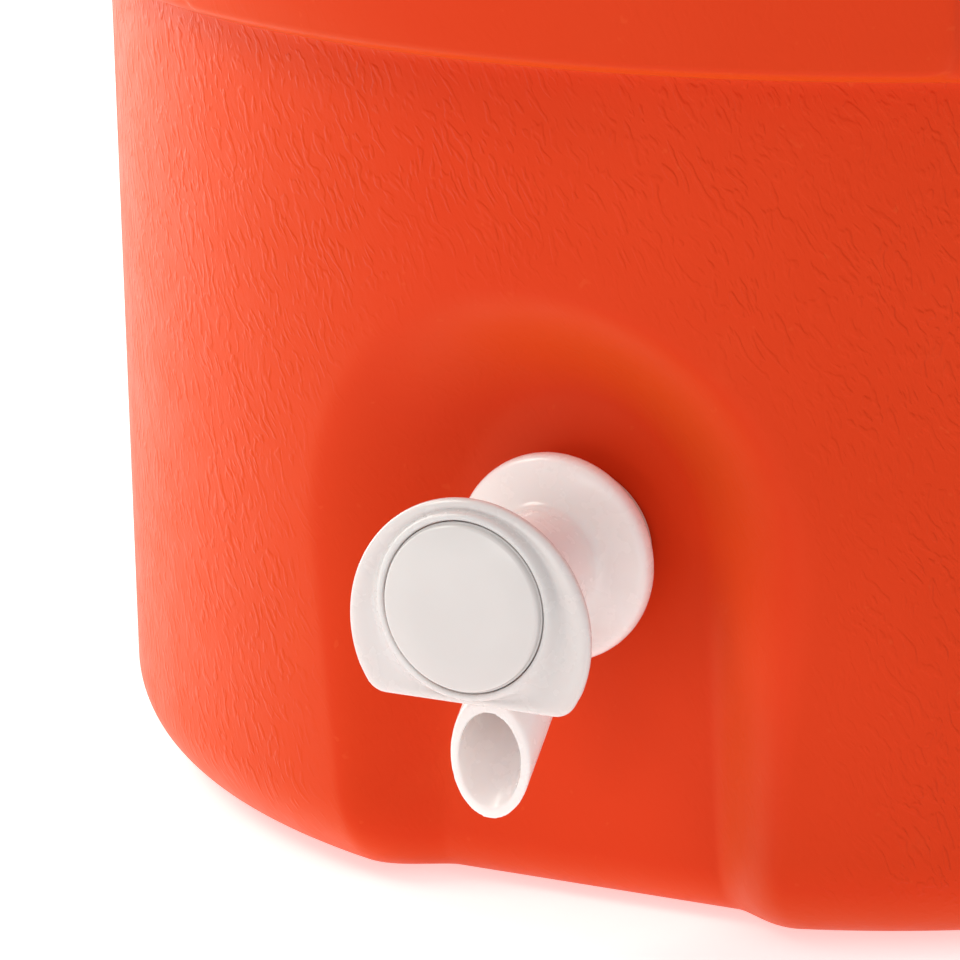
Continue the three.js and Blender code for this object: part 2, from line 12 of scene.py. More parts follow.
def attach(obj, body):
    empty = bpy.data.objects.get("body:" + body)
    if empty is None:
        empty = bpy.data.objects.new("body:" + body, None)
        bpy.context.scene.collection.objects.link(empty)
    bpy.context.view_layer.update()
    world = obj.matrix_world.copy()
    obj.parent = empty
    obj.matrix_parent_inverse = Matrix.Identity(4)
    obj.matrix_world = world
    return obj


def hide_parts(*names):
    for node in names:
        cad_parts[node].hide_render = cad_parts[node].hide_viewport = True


MM = 0.001
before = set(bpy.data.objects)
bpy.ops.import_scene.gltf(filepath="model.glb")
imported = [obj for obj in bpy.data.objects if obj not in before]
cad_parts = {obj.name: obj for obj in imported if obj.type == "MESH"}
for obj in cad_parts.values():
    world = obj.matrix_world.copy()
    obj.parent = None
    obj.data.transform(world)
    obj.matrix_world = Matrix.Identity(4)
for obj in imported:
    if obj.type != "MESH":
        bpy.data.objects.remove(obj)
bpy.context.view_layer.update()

# ---- driving dimensions, mm ----
BASE_R, TAPER, FOOT_ROUND, WALL, RIM_Z = 156.0, 0.0209, 26.0, 3.5, 404.0
BELT_Z0, BELT_Z1, BELT_R = 173.7, 372.0, 168.0
PANEL_HALF, PANEL_Z1, PANEL_RAISE, PANEL_CORNER = math.radians(29), 342.0, 1.6, 6.0
SPIGOT_Z, TAP_HOLE_R = 74.0, 9.8
NICHE_D, NICHE_ROUND = 138.0, 12.7
NICHE_FLAT, NICHE_FLAT_FOOT, NICHE_RIM, NICHE_RIM_FOOT = 29.0, 33.0, 56.0, 47.0
PIVOT_X, PIVOT_Z = 185.0, 332.0


def cone_r(z):
    return BASE_R + TAPER * z


def belt_r(z):
    return BELT_R + TAPER * (z - BELT_Z0)


# ---- mesh helpers ----
def make_object(name, verts_mm, faces, sharp=40):
    mesh = bpy.data.meshes.new(name)
    mesh.from_pydata((np.asarray(verts_mm, float) * MM).tolist(), [], faces)
    mesh.validate()
    bm = bmesh.new()
    bm.from_mesh(mesh)
    bmesh.ops.remove_doubles(bm, verts=bm.verts, dist=1e-7)
    bmesh.ops.recalc_face_normals(bm, faces=bm.faces)
    bm.to_mesh(mesh)
    bm.free()
    obj = bpy.data.objects.new(name, mesh)
    bpy.context.scene.collection.objects.link(obj)
    soften(obj, sharp)
    return obj


def soften(obj, sharp):
    obj.data.polygons.foreach_set("use_smooth", [True] * len(obj.data.polygons))
    obj.data.set_sharp_from_angle(angle=math.radians(sharp))


def rounded(points, step=1.2):
    """A polyline [(r, h, fillet), ...] with each corner replaced by a fillet arc. The ends stay."""
    out = [tuple(points[0][:2])]
    for (ax, ay, *_), (bx, by, *radius), (cx, cy, *_) in zip(points, points[1:], points[2:]):
        fillet = radius[0] if radius else 0
        u, v = Vector((ax - bx, ay - by)), Vector((cx - bx, cy - by))
        turn = math.pi - u.angle(v) if u.length and v.length else 0
        if not fillet or turn < 0.02:
            out.append((bx, by))
            continue
        reach = min(fillet * math.tan(turn / 2), 0.49 * u.length, 0.49 * v.length)
        radius_used = reach / math.tan(turn / 2)
        u.normalize(), v.normalize()
        corner = Vector((bx, by))
        centre = corner + (u + v).normalized() * math.hypot(reach, radius_used)
        start, end = corner + u * reach - centre, corner + v * reach - centre
        n = max(2, int(radius_used * turn / step) + 2)
        for i in range(n + 1):
            t = i / n
            d = (start * math.sin((1 - t) * turn) + end * math.sin(t * turn)) / math.sin(turn)
            out.append(tuple(centre + d))
    out.append(tuple(points[-1][:2]))
    return out


def subdivided(points, step):
    """Splits each segment so that none is longer than step (a number, or a function of height)."""
    out = [points[0]]
    for a, b in zip(points, points[1:]):
        span = math.dist(a, b)
        size = step((a[1] + b[1]) / 2) if callable(step) else step
        n = max(1, math.ceil(span / size))
        out += [(a[0] + (b[0] - a[0]) * i / n, a[1] + (b[1] - a[1]) * i / n) for i in range(1, n + 1)]
    return out


def revolve_grid(profile, angles, shape=None):
    """Vertices (mm, about +Z, angle 0 at -Y) and quads of a turned profile."""
    p = np.array(profile, float)
    r, h = p[:, 0][:, None], p[:, 1][:, None]
    a = (np.asarray(angles)[None, :] + math.pi) % (2 * math.pi) - math.pi
    if shape is not None:
        r = shape(np.broadcast_to(r, (len(p), a.size)), np.broadcast_to(a, (len(p), a.size)),
                  np.broadcast_to(h, (len(p), a.size)))
    x, y, z = r * np.sin(a), -r * np.cos(a), np.broadcast_to(h, (len(p), a.size))
    verts = np.stack([x, y, np.broadcast_to(z, x.shape)], -1).reshape(-1, 3)
    n, m = len(p), a.size
    faces = [(i * m + j, i * m + (j + 1) % m, (i + 1) * m + (j + 1) % m, (i + 1) * m + j)
             for i in range(n - 1) for j in range(m)]
    return verts, faces


def turned(name, profile, columns=96, sharp=40, closed=False):
    """A lathe about +Z. A profile that isn't closed starts and ends on the axis."""
    pts = list(profile) + ([profile[0]] if closed else [])
    verts, faces = revolve_grid(pts, np.arange(columns) * 2 * math.pi / columns)
    return make_object(name, verts, faces, sharp)


def to_spigot(obj):
    """Turns a lathe drawn with height = distance out, so that it lies along the spigot's axis."""
    obj.data.transform(Matrix.Translation((0, 0, SPIGOT_Z * MM)) @ Matrix.Rotation(math.pi / 2, 4, "X"))
    return obj


def extruded(name, outline, y0, y1):
    """A prism of an X-Z outline between two Y values."""
    n = len(outline)
    verts = [(x, y0, z) for x, z in outline] + [(x, y1, z) for x, z in outline]
    faces = [tuple(range(n)), tuple(range(n, 2 * n))[::-1]]
    faces += [(i, (i + 1) % n, n + (i + 1) % n, n + i) for i in range(n)]
    return make_object(name, verts, faces, 40)


def box_object(name, low, high, bevel=0.0, segments=3):
    bm = bmesh.new()
    bmesh.ops.create_cube(bm, size=1)
    low, high = Vector(low), Vector(high)
    for v in bm.verts:
        v.co = Vector((low[i] + (high[i] - low[i]) * (v.co[i] + 0.5) for i in range(3)))
    if bevel:
        bmesh.ops.bevel(bm, geom=bm.edges[:], offset=bevel, segments=segments, profile=0.5, affect="EDGES")
    verts = [tuple(v.co) for v in bm.verts]
    faces = [tuple(v.index for v in f.verts) for f in bm.faces]
    bm.free()
    return make_object(name, verts, faces, 30)


def apply_modifiers(obj):
    depsgraph = bpy.context.evaluated_depsgraph_get()
    mesh = bpy.data.meshes.new_from_object(obj.evaluated_get(depsgraph))
    obj.modifiers.clear()
    old, obj.data = obj.data, mesh
    bpy.data.meshes.remove(old)
    return obj


def boolean(obj, tools, operation):
    for tool in tools:
        m = obj.modifiers.new("bool", "BOOLEAN")
        m.operation, m.object, m.solver = operation, tool, "EXACT"
        m.use_self = False
    apply_modifiers(obj)
    for tool in tools:
        bpy.data.objects.remove(tool)
    return obj


def moulded(obj, voxel, rounds):
    """Fuses overlapping solids into one skin and rounds its inside and outside corners."""
    m = obj.modifiers.new("fuse", "REMESH")
    m.mode, m.voxel_size = "VOXEL", voxel * MM
    s = obj.modifiers.new("round", "SMOOTH")
    s.factor, s.iterations = 0.5, rounds
    apply_modifiers(obj)
    soften(obj, 180)
    return obj


def joined(name, parts):
    """One object that holds several closed meshes."""
    mesh = bpy.data.meshes.new(name)
    bm = bmesh.new()
    for part in parts:
        bm.from_mesh(part.data)
    bm.to_mesh(mesh)
    bm.free()
    for part in parts:
        bpy.data.objects.remove(part)
    obj = bpy.data.objects.new(name, mesh)
    bpy.context.scene.collection.objects.link(obj)
    return obj


def tube(name, path_mm, radius, around=24):
    """A round rod along a list of points, with flat ends."""
    p = [Vector(q) for q in path_mm]
    tangents = [(p[min(i + 1, len(p) - 1)] - p[max(i - 1, 0)]).normalized() for i in range(len(p))]
    side = tangents[0].orthogonal().normalized()
    verts, faces = [], []
    for point, tangent in zip(p, tangents):
        side = (side - tangent * side.dot(tangent)).normalized()
        up = tangent.cross(side)
        verts += [tuple(point + (side * math.cos(a) + up * math.sin(a)) * radius)
                  for a in (2 * math.pi * k / around for k in range(around))]
    for i in range(len(p) - 1):
        faces += [(i * around + k, i * around + (k + 1) % around, (i + 1) * around + (k + 1) % around,
                   (i + 1) * around + k) for k in range(around)]
    faces += [tuple(range(around))[::-1], tuple(range((len(p) - 1) * around, len(p) * around))]
    return make_object(name, verts, faces, 60)


def place(obj, body, slot, *nodes, material):
    obj.data.materials.clear()
    obj.data.materials.append(material)
    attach(obj, body)
    if nodes:
        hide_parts(*nodes)
    return obj


# ---- materials ----
class Nodes:
    """A short way to build a node tree."""

    def __init__(self, name):
        self.material = bpy.data.materials.new(name)
        self.material.use_nodes = True
        self.tree = self.material.node_tree
        self.shader = self.tree.nodes["Principled BSDF"]

    def add(self, kind, inputs=None, **settings):
        node = self.tree.nodes.new(kind)
        for key, value in settings.items():
            setattr(node, key, value)
        for key, value in (inputs or {}).items():
            self.feed(node, key, value)
        return node

    def feed(self, node, key, value):
        if isinstance(value, bpy.types.NodeSocket):
            self.tree.links.new(value, node.inputs[key])
        else:
            node.inputs[key].default_value = value

    def set(self, **inputs):
        for key, value in inputs.items():
            self.feed(self.shader, key.replace("_", " "), value)

    def noise(self, vector, scale, detail=2.0, roughness=0.5):
        inputs = {"Vector": vector, "Scale": scale, "Detail": detail, "Roughness": roughness}
        return self.add("ShaderNodeTexNoise", inputs).outputs["Fac"]

    def ramp(self, value, low, high, out_low=0.0, out_high=1.0, smooth=True):
        inputs = {"Value": value, "From Min": low, "From Max": high, "To Min": out_low, "To Max": out_high}
        kind = "SMOOTHSTEP" if smooth else "LINEAR"
        return self.add("ShaderNodeMapRange", inputs, interpolation_type=kind).outputs["Result"]

    def math(self, operation, a, b=0.0):
        return self.add("ShaderNodeMath", {0: a, 1: b}, operation=operation).outputs[0]

    def mix(self, factor, a, b):
        node = self.add("ShaderNodeMix", data_type="RGBA")
        self.feed(node, 0, factor)
        self.feed(node, 6, a)
        self.feed(node, 7, b)
        return node.outputs[2]

    def mapped(self, vector, key, value):
        return self.add("ShaderNodeMapping", {"Vector": vector, key: value}).outputs["Vector"]

    def coords(self, scale=(1, 1, 1)):
        """Object coordinates, which are the row frame in metres."""
        return self.mapped(self.add("ShaderNodeTexCoord").outputs["Object"], "Scale", scale)

    def bump(self, height, strength, distance, normal=None):
        inputs = {"Height": height, "Strength": strength, "Distance": distance}
        if normal is not None:
            inputs["Normal"] = normal
        return self.add("ShaderNodeBump", inputs).outputs["Normal"]


ORANGE = (0.68, 0.042, 0.0085, 1)
ORANGE_DEEP = (0.65, 0.039, 0.007, 1)
ORANGE_WORN = (0.72, 0.085, 0.022, 1)
# The grazing-angle orange below is a painted sheen, blended in where the surface turns away from view.
ORANGE_PAINTED_SHEEN = (0.80, 0.13, 0.010, 1)
GRAIN_BEND, GRAIN_SLANT, GRAIN_STRETCH = (0.006, 0.006, 0.006), 0.5, 0.38
MILK_WHITE, MILK_WARM = (0.90, 0.84, 0.825, 1), (0.88, 0.81, 0.79, 1)


def orange_plastic(name, grained):
    """Satin moulded plastic. The grained kind has short slanted wrinkles that run up the wall. Its colour
    turns a lighter yellow orange where the surface is seen edge-on: a painted sheen.
    """
    n = Nodes(name)
    p = n.coords()
    cloud = n.noise(p, 14, 3)
    fine = n.noise(p, 900, 2)
    speck = n.ramp(n.noise(p, 420, 1), 0.72, 0.80)
    worn = n.ramp(n.noise(p, 60, 4), 0.58, 0.85, 0, 0.16)
    colour = n.mix(n.ramp(cloud, 0.3, 0.7), ORANGE_DEEP, ORANGE)
    colour = n.mix(n.math("MAXIMUM", worn, n.math("MULTIPLY", speck, 0.25)), colour, ORANGE_WORN)
    roughness = n.ramp(n.noise(p, 120, 3), 0.3, 0.7, 0.40, 0.47)
    if grained:
        mask = n.add("ShaderNodeAttribute", attribute_name="grain").outputs["Fac"]
        warp = n.add("ShaderNodeTexNoise", {"Vector": p, "Scale": 70, "Detail": 1}).outputs["Color"]
        shift = n.add("ShaderNodeVectorMath", {0: warp, 1: GRAIN_BEND}, operation="MULTIPLY").outputs[0]
        bent = n.add("ShaderNodeVectorMath", {0: p, 1: shift}, operation="ADD").outputs[0]
        slanted = n.mapped(bent, "Rotation", (0, GRAIN_SLANT, 0))
        stretched = n.mapped(slanted, "Scale", (1, 1, GRAIN_STRETCH))
        pips = n.ramp(n.noise(stretched, 680, 1, 0.4), 0.50, 0.68)
        patches = n.ramp(n.noise(p, 60, 2), 0.35, 0.62, 0.45, 1)
        wrinkles = n.math("MULTIPLY", n.math("MULTIPLY", pips, patches), mask)
        rough_skin = n.math("MULTIPLY", n.noise(stretched, 1100, 2), mask)
        normal = n.bump(wrinkles, 0.50, 0.0004)
        normal = n.bump(rough_skin, 0.30, 0.0003, normal)
    else:
        normal = n.bump(n.noise(p, 260, 2), 0.10, 0.0003)
    normal = n.bump(fine, 0.06, 0.0002, normal)
    # Painted sheen: the colour is blended towards a lighter yellow orange where the surface is seen edge-on.
    facing = n.add("ShaderNodeLayerWeight", {"Blend": 0.5}).outputs["Facing"]
    colour = n.mix(n.ramp(facing, 0.20, 0.80, 0, 0.36, smooth=False), colour, ORANGE_PAINTED_SHEEN)
    n.set(Base_Color=colour, Roughness=roughness, Normal=normal, Specular_IOR_Level=0.17)
    n.shader.inputs["Specular Tint"].default_value = (1, 0.70, 0.42, 1)
    return n.material


def white_plastic(name, colour=MILK_WHITE, warm=MILK_WARM, roughness=0.24, depth=0.40):
    """Glossy milky plastic with a little light carried through it."""
    n = Nodes(name)
    p = n.coords()
    tone = n.ramp(n.noise(p, 45, 3), 0.3, 0.7)
    base = n.mix(tone, warm, colour)
    rough = n.ramp(n.noise(p, 240, 3), 0.3, 0.7, roughness - 0.04, roughness + 0.07)
    flow = n.mapped(p, "Scale", (1, 1, 0.35))
    normal = n.bump(n.noise(flow, 110, 1), 0.05, 0.0003)
    normal = n.bump(n.noise(p, 1500, 2), 0.04, 0.0001, normal)
    n.set(Base_Color=base, Roughness=rough, Normal=normal)
    n.shader.inputs["Subsurface Weight"].default_value = depth
    n.shader.inputs["Subsurface Radius"].default_value = (0.005, 0.0038, 0.0034)
    n.shader.inputs["Subsurface Scale"].default_value = 1.0
    n.shader.inputs["Coat Weight"].default_value = 0.15
    n.shader.inputs["Coat Roughness"].default_value = 0.12
    return n.material


def foam_material(name):
    n = Nodes(name)
    p = n.coords()
    cells = n.add("ShaderNodeTexVoronoi", {"Vector": p, "Scale": 700}).outputs["Distance"]
    tone = n.ramp(n.noise(p, 30, 4), 0.3, 0.7)
    n.set(Base_Color=n.mix(tone, (0.74, 0.62, 0.34, 1), (0.84, 0.75, 0.50, 1)),
          Roughness=n.ramp(cells, 0, 0.6, 0.85, 0.98), Normal=n.bump(cells, 0.6, 0.0006))
    return n.material


def rubber_material(name, colour, dust):
    n = Nodes(name)
    p = n.coords()
    n.set(Base_Color=n.mix(n.ramp(n.noise(p, 90, 4), 0.35, 0.75), colour, dust),
          Roughness=n.ramp(n.noise(p, 260, 3), 0.3, 0.7, 0.62, 0.82),
          Normal=n.bump(n.noise(p, 1100, 3), 0.25, 0.0002))
    return n.material


def steel_material(name):
    n = Nodes(name)
    p = n.coords((1, 1, 9))
    brushed = n.noise(p, 500, 3)
    n.set(Base_Color=n.mix(brushed, (0.50, 0.51, 0.53, 1), (0.68, 0.69, 0.70, 1)),
          Roughness=n.ramp(brushed, 0.3, 0.7, 0.24, 0.38), Normal=n.bump(brushed, 0.15, 0.0001))
    n.shader.inputs["Metallic"].default_value = 1.0
    return n.material


def floor_material(name):
    n = Nodes(name)
    p = n.coords()
    n.set(Base_Color=n.mix(n.ramp(n.noise(p, 90, 3), 0.3, 0.7), (0.91, 0.91, 0.91, 1), (0.92, 0.92, 0.92, 1)),
          Roughness=n.ramp(n.noise(p, 60, 3), 0.3, 0.7, 0.75, 0.85),
          Normal=n.bump(n.noise(p, 180, 3), 0.05, 0.0003))
    n.shader.inputs["Emission Color"].default_value = (0.97, 1, 1, 1)
    n.shader.inputs["Emission Strength"].default_value = 0.52
    return n.material


skin_mat = orange_plastic("orange_grained", True)
smooth_orange = orange_plastic("orange_smooth", False)
tap_white = white_plastic("tap_white")
# The guard's and the button's whites are darker copies of the tap's milk white: painted shade that offsets
# the key light falling full on their fronts.
guard_white_painted_shade = white_plastic("guard_white_painted_shade", (0.68, 0.645, 0.64, 1), (0.66, 0.62, 0.61, 1))
button_white = white_plastic("button_white", (0.67, 0.635, 0.625, 1), (0.65, 0.615, 0.605, 1), 0.18, 0.25)
handle_white = white_plastic("handle_white", (0.80, 0.78, 0.76, 1), (0.76, 0.73, 0.70, 1), 0.34, 0.08)
grip_white = white_plastic("grip_white", (0.74, 0.72, 0.70, 1), (0.69, 0.67, 0.64, 1), 0.48, 0.05)
liner_white = white_plastic("liner_white", (0.82, 0.82, 0.81, 1), (0.78, 0.78, 0.76, 1), 0.32, 0.05)
foam = foam_material("foam")
seal = rubber_material("seal_rubber", (0.60, 0.60, 0.57, 1), (0.70, 0.69, 0.66, 1))
black_rubber = rubber_material("o_ring_black", (0.02, 0.02, 0.022, 1), (0.06, 0.06, 0.06, 1))
steel = steel_material("steel")


# ---- outer shell ----
def smoothstep(t):
    t = np.clip(t, 0, 1)
    return t * t * (3 - 2 * t)


def niche_mask(x, z):
    below = np.clip((SPIGOT_Z - z) / SPIGOT_Z, 0, 1)
    off = np.where(z > SPIGOT_Z, np.hypot(x, z - SPIGOT_Z), np.abs(x))
    inner = NICHE_FLAT + (NICHE_FLAT_FOOT - NICHE_FLAT) * below
    outer = NICHE_RIM + (NICHE_RIM_FOOT - NICHE_RIM) * below
    return smoothstep((outer - off) / (outer - inner))


def niche_depth(z, inset):
    radius = NICHE_ROUND - inset
    low = np.sqrt(np.clip(radius**2 - (NICHE_ROUND - z) ** 2, 0, None))
    return np.where(z >= NICHE_ROUND, NICHE_D - inset, NICHE_D - NICHE_ROUND + low)


def panel_mask(a, z):
    """1 on the raised label panel, with rounded corners and a soft edge."""
    half_w, half_h = PANEL_HALF * BELT_R, (PANEL_Z1 - BELT_Z0 - 1.2) / 2
    dx = np.abs(a) * BELT_R - (half_w - PANEL_CORNER)
    dz = np.abs(z - (BELT_Z0 + 1.2 + half_h)) - (half_h - PANEL_CORNER)
    past_corner = np.hypot(np.maximum(dx, 0), np.maximum(dz, 0))
    outside = past_corner + np.minimum(np.maximum(dx, dz), 0) - PANEL_CORNER
    return smoothstep(0.5 - outside / 1.8)


def shell_shape(inset):
    def shape(r, a, z):
        wall = niche_depth(z, inset) / np.maximum(np.cos(a), 0.5)
        near = (np.abs(a) < 0.55) & (r > 118)
        mask = np.where(near, niche_mask(r * np.sin(a), z), 0)
        r = r - mask * np.maximum(0, r - wall)
        if not inset:
            on_belt = (z > BELT_Z0 - 0.01) & (z < BELT_Z1) & (r > belt_r(z) - 4)
            r = r + np.where(on_belt, PANEL_RAISE * panel_mask(a, z), 0)
        return r

    return shape


def row_step(z):
    return 1.3 if z < BELT_Z0 + 14 else 4.0


def build_shell():
    foot = BASE_R
    outside = rounded([
        (0, 0), (38, 0, 2), (42, 3, 2), (114, 3, 2), (118, 0, 2), (foot, 0, FOOT_ROUND),
        (cone_r(BELT_Z0), BELT_Z0, 2.5), (BELT_R, BELT_Z0, 3.2), (belt_r(BELT_Z1), BELT_Z1, 3),
        (cone_r(BELT_Z1 + 2), BELT_Z1 + 2, 2), (cone_r(RIM_Z), RIM_Z, 1.2),
        (cone_r(RIM_Z) - WALL, RIM_Z),
    ])
    inside = rounded([
        (cone_r(RIM_Z) - WALL, RIM_Z), (cone_r(BELT_Z1) - WALL, BELT_Z1 - 2, 3),
        (belt_r(BELT_Z1) - WALL, BELT_Z1 - 5, 3), (BELT_R - WALL, BELT_Z0 + 4, 3),
        (cone_r(BELT_Z0) - WALL, BELT_Z0 + 4, 3), (foot - WALL, WALL, FOOT_ROUND - WALL),
        (118.5, WALL, 2), (114, WALL + 3, 2), (0, WALL + 3),
    ])
    turn = np.arange(600) * 2 * math.pi / 600
    angles = turn - 0.62 * np.sin(turn)
    out = subdivided(outside, row_step)
    back = subdivided(inside, lambda z: 5.0 if z < BELT_Z0 else 12.0)
    v1, f1 = revolve_grid(out, angles, shell_shape(0))
    v2, f2 = revolve_grid(back, angles, shell_shape(WALL))
    faces = f1 + [tuple(i + len(v1) for i in f) for f in f2]
    obj = make_object("shell_skin", np.vstack([v1, v2]), faces, 50)
    boolean(obj, [tap_hole(NICHE_D - 12, NICHE_D + 8)], "DIFFERENCE")
    add_grain_mask(obj)
    return obj


def tap_hole(d0, d1):
    """The round hole that the spigot's tail goes through, as a cutting tool."""
    return to_spigot(turned("tap_hole", [(0, d0), (TAP_HOLE_R, d0), (TAP_HOLE_R, d1), (0, d1)], 64))


def add_grain_mask(obj):
    """The wrinkled grain covers the tapered walls and fades out on the belt, in the niche and at the foot."""
    co = np.empty(len(obj.data.vertices) * 3)
    obj.data.vertices.foreach_get("co", co)
    x, y, z = (co.reshape(-1, 3) / MM).T
    r, a = np.hypot(x, y), np.arctan2(x, -y)
    on_cone = smoothstep(1 - (np.abs(r - cone_r(z)) - 0.3) / 2.5)
    off_belt = np.where((z > BELT_Z0 - 1) & (z < BELT_Z1 + 1), 0, 1)
    rho = np.where(z > SPIGOT_Z, np.hypot(x, z - SPIGOT_Z), np.abs(x))
    clear = np.where(np.abs(a) < 0.6, smoothstep((rho - 50) / 26), 1)
    foot = smoothstep((z - 4) / 14)
    value = np.clip(on_cone * off_belt * clear * foot + 0.10, 0, 1)
    attribute = obj.data.attributes.new("grain", "FLOAT", "POINT")
    attribute.data.foreach_set("value", value.astype(np.float32))


shell = build_shell()
place(shell, "jug", "orange_shell", "outer_shell", material=skin_mat)

# ---- liner and base plug ----
LINER_FLOOR, LINER_R0, LINER_R1, LINER_Z1 = 33.0, 124.0, 133.0, 404.3
liner = turned("liner_skin", subdivided(rounded([
    (0, 30), (LINER_R0 + 3, 30, 4), (LINER_R1 + 3, LINER_Z1, 2), (164, LINER_Z1, 0.8), (164, LINER_Z1 + 3, 1),
    (LINER_R1, LINER_Z1 + 3, 1.5), (LINER_R0, LINER_FLOOR, 2), (0, LINER_FLOOR)]), 14), 160)
boolean(liner, [tap_hole(110, 135)], "DIFFERENCE")
place(liner, "jug", "liner_white", "inner_liner", material=liner_white)
PLUG_Y = 74.0
plug = turned("base_plug", rounded([
    (0, 0.6), (11, 0.6, 0.8), (11, 2.6, 0.4), (8, 2.6, 0.3), (8, 6, 0.6), (0, 6)], 0.3), 40)
plug.data.transform(Matrix.Translation((0, PLUG_Y * MM, 0)))
place(plug, "jug", "plug_orange", "foam_fill_plug", material=smooth_orange)

# ---- lid ----
LID_TOP, BOWL_FLOOR = 437.0, 414.0
cover = turned("lid_cover_skin", subdivided(rounded([
    (0, BOWL_FLOOR - 3), (45, BOWL_FLOOR - 3, 6), (61, LID_TOP - 4, 4), (157, LID_TOP - 6, 3),
    (165.3, LID_TOP - 13, 5), (165.3, 400, 2), (166.1, 396, 0.5), (168.4, 396, 0.8),
    (168.4, LID_TOP - 2, 11), (66, LID_TOP, 3), (60, LID_TOP - 1, 3), (44, BOWL_FLOOR, 9),
    (0, BOWL_FLOOR)]), 5), 200)
for side in (1, -1):
    low, high = sorted((side * 53, side * 69.3))
    boss = box_object("boss", (low, -17.3, 426.2), (high, 17.3, 436.2), 1.2, 2)
    boolean(cover, [boss], "UNION")
for side in (1, -1):
    low, high = sorted((side * 28, side * 66.3))
    boolean(cover, [box_object("pocket", (low, -14.3, 429.2), (high, 14.3, 439), 0.8, 2)], "DIFFERENCE")
soften(cover, 40)
bar = extruded("lid_grip_bar_skin", rounded([
    (0, 429.5), (11, 429.5), (14, 432.5, 2), (14, LID_TOP, 2.6), (-14, LID_TOP, 2.6), (-14, 432.5, 2),
    (-11, 429.5), (0, 429.5)], 0.5)[:-1], -66, 66)
bar.data.transform(Matrix.Rotation(math.pi / 2, 4, "Z"))
edge = bar.modifiers.new("edge", "BEVEL")
edge.width, edge.segments, edge.angle_limit = 0.6 * MM, 3, math.radians(60)
apply_modifiers(bar)
soften(bar, 40)
place(bar, "lid", "orange_lid", "lid_grip_bar", material=smooth_orange)
rim_bead = turned("lid_rim_bead", rounded([
    (167.6, 401), (168.7, 401.6), (168.7, 403.4), (167.6, 404)], 0.3), 200, closed=True)
place(cover, "lid", "orange_lid", "lid_cover", material=smooth_orange)
place(rim_bead, "lid", "orange_lid", material=smooth_orange)
lid_pan = turned("lid_liner_skin", subdivided(rounded([
    (0, 387), (128.4, 387, 4), (128.4, 393, 0.4), (127.4, 393.6, 0.3), (127.4, 399.4, 0.3), (128.4, 400, 0.4),
    (128.4, 407.7, 1), (163, 407.7, 0.8), (163, 409.7, 0.8), (125.8, 409.7, 1), (125.8, 389.6, 3),
    (0, 389.6)], 0.8), 14), 160)
place(lid_pan, "lid", "liner_white", "lid_liner", material=liner_white)
lid_seal = turned("lid_seal_ring", rounded([
    (127.8, 394), (129, 394, 0.3), (132.2, 395.6, 0.4), (132.2, 396.6, 0.4), (129.6, 396.8, 0.6),
    (129, 399, 0.3), (127.8, 399)], 0.3), 160, closed=True)
place(lid_seal, "lid", "seal_rubber", "lid_gasket", material=seal)


# ---- handles ----
def along_y(y, z, way=1):
    """Lays a lathe along Y at the pivots' X. Its height points to -Y, or to +Y when way is -1."""
    place_at = Matrix.Translation((PIVOT_X * MM, y * MM, z * MM))
    return place_at @ Matrix.Rotation(way * math.pi / 2, 4, "X")


